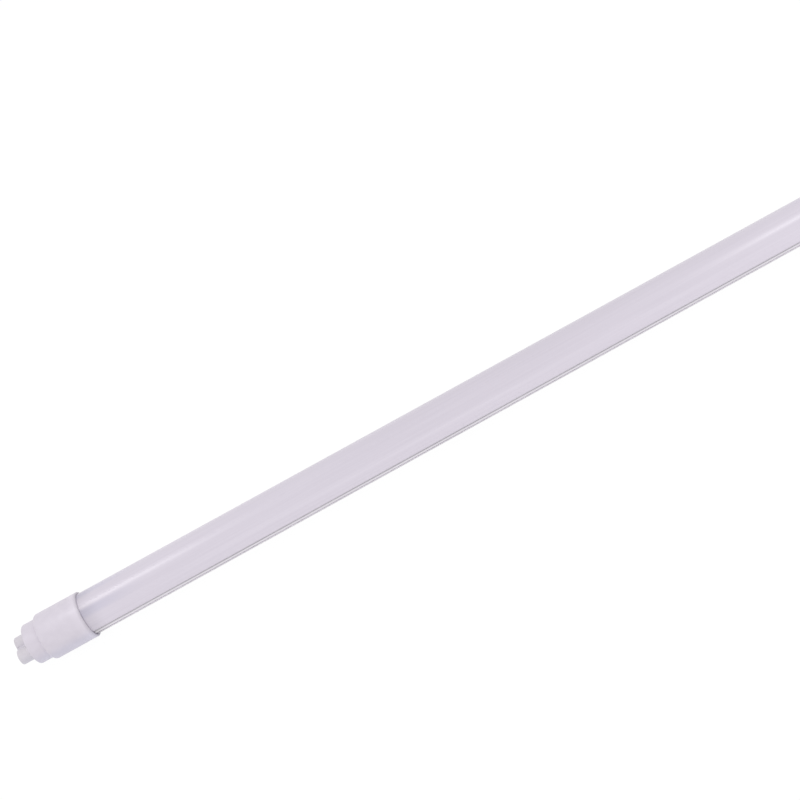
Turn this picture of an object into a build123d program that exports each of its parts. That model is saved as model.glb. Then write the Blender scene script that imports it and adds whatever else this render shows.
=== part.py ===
"""A slim LED tube: aluminium heat sink below, milky cover above, stepped caps with recessed contacts."""

import math
import os

from build123d import *

# Millimetres. The tube's axis runs along X. The model is worked out about that axis and is lifted at the
# end, so that the tube lies on its two caps with the heat sink down.

# Overall
overall_length = 590.0
fit_gap = 0.05               # clearance between parts that slide or press together
tube_radius = 12.7           # outside of the heat sink and the cover

# End caps, from the seam with the tube out to the tip
sleeve_wall = 1.25           # round the tube
sleeve_length = 27.0
collar_step = 1.9            # from the sleeve's radius in to the collar's
collar_length = 8.4
boss_length = 8.2
lobe_radius = 4.5
lobe_spacing = 8.4           # centre to centre, sideways
waist_width = 5.2
sleeve_rounding = 1.5
collar_chamfer = 0.8
boss_chamfer = 0.5
cap_wall = 1.5
end_wall = 2.0
tube_insertion = 20.0        # how deep the tube sits in the sleeve
stop_ring_overlap = 1.5      # inside the tube's radius
stop_ring_thickness = 1.5

# Recessed contacts
recess_radius = 2.7
recess_depth = 8.0
contact_setback = 1.5        # from the boss face to the cup's lip
contact_wall = 0.4
tail_radius = 0.6
tail_reach = 1.5             # beyond the bridge strip
bridge_thickness = 0.5
bridge_width = 4.0
bridge_margin = 2.0

# Heat sink section
heat_sink_wall = 1.0
fin_count = 15
fin_groove_depth = 0.4
fin_groove_width = 0.9
fin_spread = 150.0           # degrees of the lower half that carry grooves
web_thickness = 1.0
lock_rib = 0.65              # between the cover's slot and the cavity
lock_floor = 0.55            # below the cover's slot
screw_port_radius = 2.1
screw_port_inset = 2.5       # from the heat sink's inner wall to the port's centre
screw_port_drop = 6.4        # below the tube's axis, so that the screws pass below the boss's lobes
screw_port_neck = 2.4
screw_port_mouth = 0.9
rail_thickness = 0.8
rail_lip = 0.55
rail_lip_thickness = 0.6

# Cover section
cover_wall = 0.9
foot_height = 0.8
tongue_thickness = 0.75
tongue_drop = 1.2
hook_reach = 0.4
hook_height = 0.4

# Screws, two at each end
screw_radius = 1.15
screw_grip = 7.0             # length in the heat sink's port
screw_head_radius = 1.9
screw_head_height = 1.5
screw_slot_width = 0.5
screw_slot_length = 2.2
screw_slot_depth = 0.8
tower_wall = 0.95
tower_floor = 2.0
tower_clearance = 0.15       # round the screw's head

# LED board and chips
led_board_width = 12.0
led_board_thickness = 1.0
led_board_inset = 2.0        # back from each end of the heat sink
led_count = 48
led_length = 3.5
led_width = 2.8
led_height = 0.8
led_rim = 0.35
led_window_depth = 0.1

# Driver sleeve and board
driver_inset = 6.0           # from the tube's left end to the driver board
driver_sleeve_wall = 0.3
driver_sleeve_rounding = 0.8
driver_sleeve_overhang = 2.0
driver_sleeve_clearance = 0.15
driver_board_thickness = 0.8
pad_zone = 7.0               # bare board at each end, for the leads
part_gap = 1.0               # between neighbours on the driver board

# Parts on the driver board
tall_part_headroom = 0.75    # over the cans and the transformer
pin_radius = 0.25
pin_reach = 0.9
pin_bend = 0.4
fuse_radius = 1.5
fuse_length = 7.0
fuse_rounding = 0.4
varistor_radius = 2.8
varistor_thickness = 2.8
varistor_rounding = 0.7
varistor_lift = 0.4
film_capacitor_length = 10.0
film_capacitor_width = 5.0
film_capacitor_height = 6.0
film_capacitor_rounding = 0.6
choke_radius = 3.2
choke_height = 6.0
choke_flange = 1.0
choke_core_radius = 1.5
choke_winding_radius = 2.8
bridge_rectifier_length = 4.7
bridge_rectifier_width = 3.9
bridge_rectifier_height = 2.4
bulk_capacitor_length = 11.0
bulk_capacitor_count = 2
can_pin_spacing = 2.1
crimp_depth = 0.3
crimp_width = 0.8
crimp_offset = 1.6
control_chip_length = 4.9
control_chip_width = 3.9
control_chip_height = 1.5
resistor_length = 3.2
resistor_width = 1.6
resistor_height = 0.55
resistor_count = 3
resistor_pitch = 2.4
transformer_length = 10.2
transformer_width = 7.2
ferrite_thickness = 4.4
ferrite_back = 1.3
ferrite_side_leg = 0.9
ferrite_centre_leg = 2.2
bobbin_wall = 0.35
bobbin_flange = 0.5
winding_inset = 0.1          # the winding's top below the bobbin's flanges
diode_length = 4.3
diode_width = 2.6
diode_height = 2.2
output_capacitor_length = 9.0
package_leg_width = 0.5
package_leg_thickness = 0.2
package_leg_reach = 1.0
package_lift = 0.15

# Internal leads
lead_radius = 0.7
output_lead_radius = 0.6
output_lead_spacing = 1.5
output_lead_shift = -1.65    # sideways, clear of the input lead
input_lead_shift = 2.3
lead_turn_setback = 4.0      # out of the tube's end, into the cap
lead_straight = 4.0
lead_slope = 15.0            # length of the long lead's way down to the heat sink's floor, and up again
lead_pad_inset = 2.5
lead_bend = 3.0

# Radii that follow from those above
sleeve_bore = tube_radius + fit_gap
sleeve_radius = sleeve_bore + sleeve_wall
collar_radius = sleeve_radius - collar_step
stop_ring_bore = tube_radius - stop_ring_overlap
chamber_radius = sleeve_radius - cap_wall
collar_bore = collar_radius - cap_wall
heat_sink_bore = tube_radius - heat_sink_wall
tower_hole_radius = screw_head_radius + tower_clearance
contact_radius = recess_radius - fit_gap

# Places along the tube, for the left end
boss_face = -overall_length / 2
collar_face = boss_face + boss_length
shoulder_face = collar_face + collar_length
seam = shoulder_face + sleeve_length
tube_end = seam - tube_insertion
inner_face = collar_face + end_wall
driver_start = tube_end + driver_inset

# Widths and heights about the tube's axis
web_top = 0.0
web_bottom = web_top - web_thickness
led_board_top = web_top + led_board_thickness
tongue_outer = tube_radius - cover_wall - fit_gap
tongue_inner = tongue_outer - tongue_thickness
side_block_inner = tongue_inner - hook_reach - fit_gap - lock_rib
side_block_height = tongue_drop + fit_gap + lock_floor
screw_port_distance = heat_sink_bore - screw_port_inset
screw_port_side = math.sqrt(screw_port_distance ** 2 - screw_port_drop ** 2)
driver_sleeve_half_width = screw_port_side - screw_port_radius - fit_gap
driver_sleeve_top = web_bottom - driver_sleeve_clearance
driver_sleeve_floor = -math.sqrt((heat_sink_bore - fit_gap) ** 2 - driver_sleeve_half_width ** 2)
driver_board_width = 2 * (driver_sleeve_half_width - driver_sleeve_rounding)
driver_board_bottom = driver_sleeve_floor + driver_sleeve_wall
driver_board_top = driver_board_bottom + driver_board_thickness
tall_part_height = driver_sleeve_top - driver_sleeve_wall - tall_part_headroom - driver_board_top
can_radius = tall_part_height / 2


def bar(sketch, start, end):
    """Extrude a cross-section of the tube along X, from start to end."""
    return extrude(Plane.YZ.offset(start) * sketch, end - start)


def rod(radius, start, end, y=0.0, z=0.0):
    """A round bar along X at a place across the tube."""
    return bar(Pos(y, z) * Circle(radius), start, end)


def patch(y_low, y_high, z_low, z_high):
    """A rectangle across the tube between two widths and two heights."""
    return Pos((y_low + y_high) / 2, (z_low + z_high) / 2) * Rectangle(y_high - y_low, z_high - z_low)


def both_sides(sketch):
    """A cross-section's feature and its mirror image on the tube's other side."""
    return sketch + mirror(sketch, Plane.YZ)


def post(radius, x, y, z_low, z_high):
    """An upright round pin."""
    return Pos(x, y, (z_low + z_high) / 2) * Cylinder(radius, z_high - z_low)


def block(length, width, height, x, y, z_low):
    """A box that starts at x, is centred on y and stands on z_low."""
    return Pos(x + length / 2, y, z_low + height / 2) * Box(length, width, height)


def edges_at(solid, x):
    """The edges that lie wholly in the plane square to the tube at x."""
    return solid.edges().filter_by_position(Axis.X, x, x)


# Extrusions

def cover_lock(top, gap):
    """The tongue and hook on the cover's lower edge, or with a gap, the slot that takes them."""
    low = -tongue_drop - gap
    tongue = patch(tongue_inner - gap, tongue_outer + gap, low, top)
    hook = patch(tongue_inner - hook_reach - gap, tongue_inner, low, -tongue_drop + hook_height + gap)
    return tongue + hook


def heat_sink():
    """Half-round extrusion: a finned wall, a web for the LED board, two screw ports and two slots."""
    lower_half = patch(-sleeve_radius, sleeve_radius, -sleeve_radius, web_top)
    wall = (Circle(tube_radius) - Circle(heat_sink_bore)) & lower_half
    web = patch(-side_block_inner, side_block_inner, web_bottom, web_top)
    side_block = patch(side_block_inner, tube_radius, -side_block_height, web_top) & Circle(tube_radius)
    outward = math.degrees(math.atan2(-screw_port_drop, screw_port_side))
    port_place = Pos(screw_port_side, -screw_port_drop) * Rot(0, 0, outward)
    neck_length = screw_port_inset + heat_sink_wall / 2
    neck = Pos(neck_length / 2, 0) * Rectangle(neck_length, screw_port_neck)
    port = port_place * (Circle(screw_port_radius) + neck)
    mouth_length = screw_port_radius + fit_gap
    mouth = Pos(-mouth_length / 2, 0) * Rectangle(mouth_length, screw_port_mouth)
    port_hole = port_place * (Circle(screw_radius + fit_gap) + mouth)
    rail_inner = led_board_width / 2 + fit_gap
    rail_top = led_board_top + fit_gap + rail_lip_thickness
    rail = patch(rail_inner, rail_inner + rail_thickness, web_bottom, rail_top)
    lip = patch(rail_inner - rail_lip, rail_inner, led_board_top + fit_gap, rail_top)
    section = wall + web + both_sides(side_block + port + rail + lip)
    section -= both_sides(port_hole + cover_lock(web_top, fit_gap))
    step = fin_spread / (fin_count - 1)
    for index in range(fin_count):
        angle = -90 - fin_spread / 2 + index * step
        groove = Rectangle(2 * fin_groove_depth, fin_groove_width)
        section -= Rot(0, 0, angle) * Pos(tube_radius, 0) * groove
    return bar(section, tube_end, -tube_end)


def diffuser_cover():
    """Thin half-round cover whose hooked edges slide into the heat sink."""
    upper_half = patch(-sleeve_radius, sleeve_radius, web_top, sleeve_radius)
    shell = (Circle(tube_radius) - Circle(tube_radius - cover_wall)) & upper_half
    foot = patch(tongue_inner, tube_radius, web_top, foot_height) & Circle(tube_radius)
    section = shell + both_sides(foot + cover_lock(foot_height / 2, 0.0))
    return bar(section, tube_end, -tube_end)


# End caps

def boss_outline():
    """Two round lobes, side by side, joined by a waist."""
    lobes = both_sides(Pos(lobe_spacing / 2, 0) * Circle(lobe_radius))
    return lobes + Rectangle(lobe_spacing, waist_width)


def end_cap():
    """The left cap: sleeve, collar and two-lobed boss, hollow inside, with two towers for the screws."""
    sleeve = rod(sleeve_radius, shoulder_face, seam)
    sleeve = fillet(edges_at(sleeve, shoulder_face), sleeve_rounding)
    collar = rod(collar_radius, collar_face, shoulder_face + cap_wall)
    collar = chamfer(edges_at(collar, collar_face), collar_chamfer)
    boss = bar(boss_outline(), boss_face, collar_face + end_wall)
    boss = chamfer(edges_at(boss, boss_face), boss_chamfer)
    cap = sleeve + collar + boss
    cap -= rod(sleeve_bore, tube_end, seam)
    cap -= rod(stop_ring_bore, tube_end - stop_ring_thickness, tube_end)
    cap -= rod(chamber_radius, shoulder_face + cap_wall, tube_end - stop_ring_thickness)
    cap -= rod(collar_bore, inner_face, shoulder_face + cap_wall)
    tower_radius = tower_hole_radius + tower_wall
    for side in (-1, 1):
        place = dict(y=side * screw_port_side, z=-screw_port_drop)
        tower = rod(tower_radius, inner_face - end_wall / 2, tube_end, **place)
        cap += tower & rod(collar_radius - cap_wall / 2, collar_face, tube_end)
    for side in (-1, 1):
        place = dict(y=side * screw_port_side, z=-screw_port_drop)
        cap -= rod(tower_hole_radius, collar_face, tube_end - tower_floor, **place)
        cap -= rod(screw_radius + fit_gap, tube_end - tower_floor, tube_end, **place)
    for side in (-lobe_spacing / 2, lobe_spacing / 2):
        cap -= rod(recess_radius, boss_face, boss_face + recess_depth, y=side)
        cap -= rod(tail_radius + fit_gap, boss_face + recess_depth, inner_face, y=side)
    return cap


def contacts():
    """Two cups in the boss's recesses, each with a tail that passes through the cap's end wall."""
    lip = boss_face + contact_setback
    floor = boss_face + recess_depth
    tail_end = inner_face + bridge_thickness + tail_reach
    cups = []
    for side in (-lobe_spacing / 2, lobe_spacing / 2):
        cup = rod(contact_radius, lip, floor, y=side)
        cup -= rod(contact_radius - contact_wall, lip, floor - contact_wall, y=side)
        cups.append(cup + rod(tail_radius, floor - contact_wall / 2, tail_end, y=side))
    return cups


def bridge_strip():
    """Stamped strip inside the cap that joins the two contacts' tails."""
    outline = Rectangle(lobe_spacing + 2 * bridge_margin, bridge_width)
    outline -= both_sides(Pos(lobe_spacing / 2, 0) * Circle(tail_radius + fit_gap))
    return bar(outline, inner_face, inner_face + bridge_thickness)


def cap_screw(side):
    """Pan-head screw through a tower's floor into the heat sink's port."""
    place = dict(y=side * screw_port_side, z=-screw_port_drop)
    seat = tube_end - tower_floor
    screw = rod(screw_head_radius, seat - screw_head_height, seat, **place)
    screw += rod(screw_radius, seat - screw_head_height / 2, tube_end + screw_grip, **place)
    for width, height in ((screw_slot_length, screw_slot_width), (screw_slot_width, screw_slot_length)):
        slot = Pos(place["y"], place["z"]) * Rectangle(width, height)
        screw -= bar(slot, seat - screw_head_height, seat - screw_head_height + screw_slot_depth)
    return screw


# LED board

def led_board():
    """Narrow board that slides under the heat sink's rails."""
    section = patch(-led_board_width / 2, led_board_width / 2, web_top, led_board_top)
    return bar(section, tube_end + led_board_inset, -tube_end - led_board_inset)


def led_chips():
    """A row of chips, each a small package with a shallow window."""
    row_length = -2 * (tube_end + led_board_inset)
    pitch = row_length / led_count
    chips = []
    for index in range(led_count):
        start = -row_length / 2 + (index + 0.5) * pitch - led_length / 2
        chip = block(led_length, led_width, led_height, start, 0, led_board_top)
        window_floor = led_board_top + led_height - led_window_depth
        window_length = led_length - 2 * led_rim
        window = block(window_length, led_width - 2 * led_rim, led_height, start + led_rim, 0, window_floor)
        chips.append(chip - window)
    return chips


# Parts on the driver board. Each starts at x and stands on the board's upper face.

def bent_pin(x, inside, y, height):
    """Wire pin that rises from the board at x and turns into a part's end at the given height."""
    return lead([(x, y, driver_board_top), (x, y, height), (inside, y, height)], pin_radius, pin_bend)


def fuse(x):
    """Small fuse lying along the board, with a wire pin at each end."""
    height = driver_board_top + fuse_radius + fit_gap
    first_pin = x + pin_radius
    body_start = first_pin + pin_reach
    body_end = body_start + fuse_length
    last_pin = body_end + pin_reach
    solid = rod(fuse_radius, body_start, body_end, z=height)
    solid = fillet(solid.edges().filter_by(GeomType.CIRCLE), fuse_rounding)
    solid += bent_pin(first_pin, body_start + pin_reach, 0, height)
    return solid + bent_pin(last_pin, body_end - pin_reach, 0, height)


def varistor(x):
    """Round disc standing across the board on two short pins."""
    centre = driver_board_top + varistor_lift + varistor_radius
    disc = rod(varistor_radius, x, x + varistor_thickness, z=centre)
    disc = fillet(disc.edges().filter_by(GeomType.CIRCLE), varistor_rounding)
    for y in (-varistor_radius / 2, varistor_radius / 2):
        disc += post(pin_radius, x + varistor_thickness / 2, y, driver_board_top, centre)
    return disc


def film_capacitor(x):
    """Moulded box capacitor."""
    box = block(film_capacitor_length, film_capacitor_width, film_capacitor_height, x, 0, driver_board_top)
    return fillet(box.edges().filter_by(Axis.Z), film_capacitor_rounding)


def choke_core(x):
    """Upright ferrite spool."""
    centre = x + choke_radius
    top = driver_board_top + choke_height
    spool = post(choke_core_radius, centre, 0, driver_board_top, top)
    spool += post(choke_radius, centre, 0, driver_board_top, driver_board_top + choke_flange)
    return spool + post(choke_radius, centre, 0, top - choke_flange, top)


def choke_winding(x):
    """Wire wound on the spool."""
    low = driver_board_top + choke_flange
    high = driver_board_top + choke_height - choke_flange
    centre = x + choke_radius
    coil = post(choke_winding_radius, centre, 0, low, high)
    return coil - post(choke_core_radius + fit_gap, centre, 0, low, high)


def lying_capacitor(x, length):
    """Round can lying along the board, crimped near its pin end, with two pins bent down to the board."""
    axis_height = driver_board_top + can_radius
    pin = x + pin_radius
    can_start = x + pin_reach
    crimp_start = can_start + crimp_offset
    can = rod(can_radius, can_start, x + length, z=axis_height)
    crimp = rod(can_radius, crimp_start, crimp_start + crimp_width, z=axis_height)
    crimp -= rod(can_radius - crimp_depth, crimp_start, crimp_start + crimp_width, z=axis_height)
    can -= crimp
    for y in (-can_pin_spacing / 2, can_pin_spacing / 2):
        can += bent_pin(pin, can_start + pin_reach, y, axis_height)
    return can


def moulded_package(x, length, width, height, legs_each_side):
    """Small moulded package with flat legs on both sides."""
    body = block(length, width, height - package_lift, x, 0, driver_board_top + package_lift)
    pitch = length / legs_each_side
    for index in range(legs_each_side):
        leg_x = x + (index + 0.5) * pitch - package_leg_width / 2
        for side_y, foot_y in ((-width / 2, -(width + package_leg_reach) / 2),
                               (width / 2, (width + package_leg_reach) / 2)):
            knee = (package_leg_width, 2 * package_leg_thickness, height / 2)
            foot = (package_leg_width, package_leg_reach, package_leg_thickness)
            body += block(*knee, leg_x, side_y, driver_board_top)
            body += block(*foot, leg_x, foot_y, driver_board_top)
    return body


def chip_resistors(x):
    """A column of small chip resistors across the board."""
    size = (resistor_length, resistor_width, resistor_height)
    first = -(resistor_count - 1) / 2 * resistor_pitch
    places = [first + index * resistor_pitch for index in range(resistor_count)]
    return [block(*size, x, y, driver_board_top) for y in places]


def transformer_core(x):
    """Ferrite core lying flat: a back at each end, a centre leg and two side legs."""
    low = driver_board_top + (tall_part_height - ferrite_thickness) / 2
    core = block(transformer_length, transformer_width, ferrite_thickness, x, 0, low)
    window_length = transformer_length - 2 * ferrite_back
    window_width = (transformer_width - ferrite_centre_leg) / 2 - ferrite_side_leg
    for side in (-1, 1):
        y = side * (ferrite_centre_leg + window_width) / 2
        core -= block(window_length, window_width, ferrite_thickness, x + ferrite_back, y, low)
    return core


def bobbin_sizes():
    """The bobbin's length, its hole, the outside of its tube and the width of its flanges."""
    length = transformer_length - 2 * ferrite_back - 2 * fit_gap
    hole = (ferrite_centre_leg + 2 * fit_gap, ferrite_thickness + 2 * fit_gap)
    tube = (hole[0] + 2 * bobbin_wall, hole[1] + 2 * bobbin_wall)
    flange_width = transformer_width - 2 * ferrite_side_leg - 2 * fit_gap
    return length, hole, tube, flange_width


def transformer_bobbin(x):
    """Rectangular spool on the core's centre leg."""
    length, hole, tube, flange_width = bobbin_sizes()
    start = x + ferrite_back + fit_gap
    centre = driver_board_top + tall_part_height / 2
    spool = bar(Pos(0, centre) * Rectangle(*tube), start, start + length)
    for flange_start in (start, start + length - bobbin_flange):
        flange = Pos(0, centre) * Rectangle(flange_width, tall_part_height)
        spool += bar(flange, flange_start, flange_start + bobbin_flange)
    return spool - bar(Pos(0, centre) * Rectangle(*hole), start, start + length)


def transformer_winding(x):
    """Wire and tape wound on the bobbin between its flanges."""
    length, _, tube, flange_width = bobbin_sizes()
    start = x + ferrite_back + fit_gap + bobbin_flange
    end = start + length - 2 * bobbin_flange
    centre = driver_board_top + tall_part_height / 2
    width = flange_width - 2 * winding_inset
    height = tall_part_height - 2 * winding_inset
    coil = Pos(0, centre) * RectangleRounded(width, height, bobbin_wall)
    return bar(coil - Pos(0, centre) * Rectangle(*tube), start, end)


def driver_parts():
    """The driver board's parts in their order along the board, each after the last."""
    fuse_run = fuse_length + 2 * (pin_reach + pin_radius)
    nodes = {}
    x = driver_start + pad_zone
    nodes["fuse"] = fuse(x)
    x += fuse_run + part_gap
    nodes["surge_varistor"] = varistor(x)
    x += varistor_thickness + part_gap
    nodes["film_capacitor"] = film_capacitor(x)
    x += film_capacitor_length + part_gap
    nodes["choke_core"] = choke_core(x)
    nodes["choke_winding"] = choke_winding(x)
    x += 2 * choke_radius + part_gap
    nodes["bridge_rectifier"] = moulded_package(
        x, bridge_rectifier_length, bridge_rectifier_width, bridge_rectifier_height, 2)
    x += bridge_rectifier_length + part_gap
    nodes["bulk_capacitors"] = []
    for index in range(bulk_capacitor_count):
        nodes["bulk_capacitors"].append(lying_capacitor(x, bulk_capacitor_length))
        x += bulk_capacitor_length + part_gap
    nodes["control_chip"] = moulded_package(
        x, control_chip_length, control_chip_width, control_chip_height, 4)
    x += control_chip_length + part_gap
    nodes["chip_resistors"] = chip_resistors(x)
    x += resistor_length + part_gap
    nodes["transformer_core"] = transformer_core(x)
    nodes["transformer_bobbin"] = transformer_bobbin(x)
    nodes["transformer_winding"] = transformer_winding(x)
    x += transformer_length + part_gap
    nodes["output_diode"] = moulded_package(x, diode_length, diode_width, diode_height, 1)
    x += diode_length + part_gap
    nodes["output_capacitor"] = lying_capacitor(x, output_capacitor_length)
    return nodes, x + output_capacitor_length + pad_zone


def driver_board(board_end):
    """Narrow circuit board lying on the sleeve's floor."""
    half = driver_board_width / 2
    return bar(patch(-half, half, driver_board_bottom, driver_board_top), driver_start, board_end)


def driver_sleeve(board_end):
    """Thin insulating tube, nearly square, round the driver board and its parts."""
    height = driver_sleeve_top - driver_sleeve_floor
    centre = Pos(0, driver_sleeve_floor + height / 2)
    width = 2 * driver_sleeve_half_width
    outer = centre * RectangleRounded(width, height, driver_sleeve_rounding)
    inner = centre * RectangleRounded(width - 2 * driver_sleeve_wall, height - 2 * driver_sleeve_wall,
                                      driver_sleeve_rounding - driver_sleeve_wall)
    return bar(outer - inner, driver_start - driver_sleeve_overhang, board_end + driver_sleeve_overhang)


# Internal leads

def lead(points, radius, bends):
    """A round lead along straight runs joined by arcs."""
    path = FilletPolyline(*points, radius=bends)
    start = Plane(origin=path @ 0, z_dir=path % 0)
    return sweep(start * Circle(radius), path=path)


def left_input_lead():
    """From the left bridge strip down into the sleeve, to the driver board's left end."""
    height = driver_board_top + lead_radius
    start = inner_face + bridge_thickness
    points = [
        (start, 0, 0),
        (start + lead_straight, 0, 0),
        (tube_end, input_lead_shift, height),
        (driver_start + lead_pad_inset, input_lead_shift, height),
    ]
    return lead(points, lead_radius, lead_bend)


def right_input_lead(board_end):
    """From the right bridge strip along the bottom of the heat sink to the driver board's right end."""
    height = driver_board_top + lead_radius
    lying = -heat_sink_bore + lead_radius + fit_gap
    start = -inner_face - bridge_thickness
    sleeve_end = board_end + driver_sleeve_overhang
    points = [
        (start, 0, 0),
        (start - lead_straight, 0, 0),
        (-tube_end, 0, height),
        (-tube_end - lead_slope, 0, lying),
        (sleeve_end + lead_slope, 0, lying),
        (sleeve_end, 0, height),
        (board_end - lead_pad_inset, 0, height),
    ]
    return lead(points, lead_radius, lead_bend)


def output_leads():
    """Two leads from the driver board out of the tube's left end and back onto the LED board."""
    low = driver_board_top + output_lead_radius
    high = led_board_top + output_lead_radius
    turn = tube_end - lead_turn_setback
    leads = []
    for side in (-1, 1):
        y = output_lead_shift + side * output_lead_spacing / 2
        points = [
            (driver_start + lead_pad_inset, y, low),
            (turn, y, low),
            (turn, y, high),
            (tube_end + led_board_inset + lead_pad_inset, y, high),
        ]
        leads.append(lead(points, output_lead_radius, lead_bend))
    return leads


def build():
    """Every node by name, as a list of solids about the tube's axis."""
    nodes, board_end = driver_parts()
    nodes["heat_sink"] = heat_sink()
    nodes["diffuser_cover"] = diffuser_cover()
    nodes["led_board"] = led_board()
    nodes["led_chips"] = led_chips()
    nodes["driver_board"] = driver_board(board_end)
    nodes["driver_sleeve"] = driver_sleeve(board_end)
    left_parts = {
        "end_cap": [end_cap()],
        "contacts": contacts(),
        "bridge_strip": [bridge_strip()],
    }
    for name, solids in left_parts.items():
        nodes["left_" + name] = solids
        nodes["right_" + name] = [mirror(solid, Plane.YZ) for solid in solids]
    left_screws = [cap_screw(-1), cap_screw(1)]
    nodes["cap_screws"] = left_screws + [mirror(screw, Plane.YZ) for screw in left_screws]
    nodes["left_input_lead"] = left_input_lead()
    nodes["right_input_lead"] = right_input_lead(board_end)
    nodes["output_leads"] = output_leads()
    return nodes


def write(nodes):
    """Lift the tube onto its caps and write one STEP file for each node."""
    os.makedirs("parts", exist_ok=True)
    lift = Pos(0, 0, sleeve_radius)
    for name, shapes in nodes.items():
        shapes = shapes if isinstance(shapes, list) else [shapes]
        solids = [lift * solid for shape in shapes for solid in shape.solids()]
        whole = solids[0] if len(solids) == 1 else Compound(children=solids)
        export_step(whole, os.path.join("parts", name + ".step"))
        print(name, len(solids), "solids", round(sum(solid.volume for solid in solids), 1), "mm3")


write(build())
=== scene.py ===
import math

import bmesh
import bpy
import numpy as np
from mathutils import Matrix, Vector


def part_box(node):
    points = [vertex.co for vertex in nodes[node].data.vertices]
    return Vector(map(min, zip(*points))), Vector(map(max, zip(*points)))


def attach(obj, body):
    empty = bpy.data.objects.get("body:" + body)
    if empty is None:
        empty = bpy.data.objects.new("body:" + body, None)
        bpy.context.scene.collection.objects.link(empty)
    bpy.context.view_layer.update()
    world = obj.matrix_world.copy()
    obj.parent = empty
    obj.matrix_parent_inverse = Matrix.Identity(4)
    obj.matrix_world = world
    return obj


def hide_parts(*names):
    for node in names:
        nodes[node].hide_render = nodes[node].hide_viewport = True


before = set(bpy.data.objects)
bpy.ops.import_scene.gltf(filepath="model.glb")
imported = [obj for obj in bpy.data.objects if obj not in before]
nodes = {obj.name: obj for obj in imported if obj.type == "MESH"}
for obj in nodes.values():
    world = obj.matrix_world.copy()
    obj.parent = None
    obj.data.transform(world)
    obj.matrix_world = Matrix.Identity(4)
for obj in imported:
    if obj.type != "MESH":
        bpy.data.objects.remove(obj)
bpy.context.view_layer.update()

# Shapes are worked out in millimetres about the tube's axis, which runs along X. A piece is brought
# to metres and lifted to the axis as it goes into its mesh.
mm = 0.001
sharpAngle = math.radians(35)  # corners sharper than this stay sharp in the shading
capLow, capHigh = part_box("left_end_cap")
sinkLow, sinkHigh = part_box("heat_sink")
axisHeight = (capLow.z + capHigh.z) / 2
sleeveRadius = (capHigh.z - capLow.z) / 2 / mm
tubeRadius = (sinkHigh.y - sinkLow.y) / 2 / mm
bossFace = capLow.x / mm       # tip of the left boss
seam = capHigh.x / mm          # where the left cap's sleeve ends on the tube
tubeEnd = sinkLow.x / mm       # left end of the heat sink and the cover, inside the sleeve
print("frame: tube radius", round(tubeRadius, 2), "seam", round(seam, 2), "tube end", round(tubeEnd, 2))


# A line through the points in which each corner is an arc of its own radius, touching both runs.
# The arc's centre lies on the corner's bisector, and its points sweep evenly from one run to the other.
def roundedLine(points, radii, steps=6):
    points, radii = np.asarray(points, float), np.asarray(radii, float)[:, None, None]
    before = np.vstack([points[:1], points[:-1]])
    after = np.vstack([points[1:], points[-1:]])
    back, ahead = before - points, after - points
    back[0], ahead[-1] = -ahead[0], -back[-1]
    back /= np.linalg.norm(back, axis=1, keepdims=True)
    ahead /= np.linalg.norm(ahead, axis=1, keepdims=True)
    half = np.arccos(np.clip((back * ahead).sum(1), -1, 1)) / 2
    bisector = back + ahead
    length = np.linalg.norm(bisector, axis=1, keepdims=True)
    bisector = np.divide(bisector, length, out=np.zeros_like(bisector), where=length > 1e-9)
    reach = 1 / np.sin(half)
    sweep = np.linspace(-1, 1, steps)[None, :, None] * (math.pi / 2 - half)[:, None, None]
    across = ahead - (ahead * bisector).sum(1, keepdims=True) * bisector
    width = np.linalg.norm(across, axis=1, keepdims=True)
    across = np.divide(across, width, out=np.zeros_like(across), where=width > 1e-9)
    centre = points[:, None, :] + radii * (reach[:, None] * bisector)[:, None, :]
    arc = centre + radii * (np.sin(sweep) * across[:, None, :] - np.cos(sweep) * bisector[:, None, :])
    line = np.where(radii > 0, arc, points[:, None, :]).reshape(-1, 2)
    moved = np.linalg.norm(np.diff(line, axis=0), axis=1) > 1e-7
    return line[np.concatenate([[True], moved])]


# Puts points in millimetres about the axis, and faces, into a piece with smooth faces turned outwards.
def addPiece(name, points, faces):
    mesh = bpy.data.meshes.new(name)
    mesh.from_pydata((points * mm + (0, 0, axisHeight)).tolist(), [], faces)
    shell = bmesh.new()
    shell.from_mesh(mesh)
    bmesh.ops.recalc_face_normals(shell, faces=shell.faces)
    shell.to_mesh(mesh)
    shell.free()
    mesh.shade_smooth()
    mesh.set_sharp_from_angle(angle=sharpAngle)
    piece = bpy.data.objects.new(name, mesh)
    bpy.context.scene.collection.objects.link(piece)
    return piece


# The four-sided faces between neighbouring rings of one grid; each ring closes on itself.
def ringFaces(rings, count):
    ring, step = np.meshgrid(np.arange(rings - 1), np.arange(count), indexing="ij")
    here, beside = ring * count + step, ring * count + (step + 1) % count
    return np.stack([here, beside, beside + count, here + count], axis=-1).reshape(-1, 4).tolist()


# A turned surface: a profile of (x, radius) goes round a line along X. At angle a its point is
# (x, y + radius cos a, z + radius sin a). The profile's first and last points close it on that line.
def turned(profile, count, y=0.0, z=0.0):
    angle = np.linspace(0, 2 * math.pi, count, endpoint=False)
    along, radius = profile[1:-1, 0][:, None], profile[1:-1, 1][:, None]
    across, above = y + radius * np.cos(angle), z + radius * np.sin(angle)
    rings = np.stack(np.broadcast_arrays(along, across, above), axis=-1)
    poles = np.array([[profile[0, 0], y, z], [profile[-1, 0], y, z]])
    points = np.vstack([rings.reshape(-1, 3), poles])
    total = len(rings) * count
    step = np.arange(count)
    beside = (step + 1) % count
    first = np.stack([np.full(count, total), beside, step], axis=-1)
    last = np.stack([np.full(count, total + 1), total - count + step, total - count + beside], axis=-1)
    return points, ringFaces(len(rings), count) + first.tolist() + last.tolist()


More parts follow.
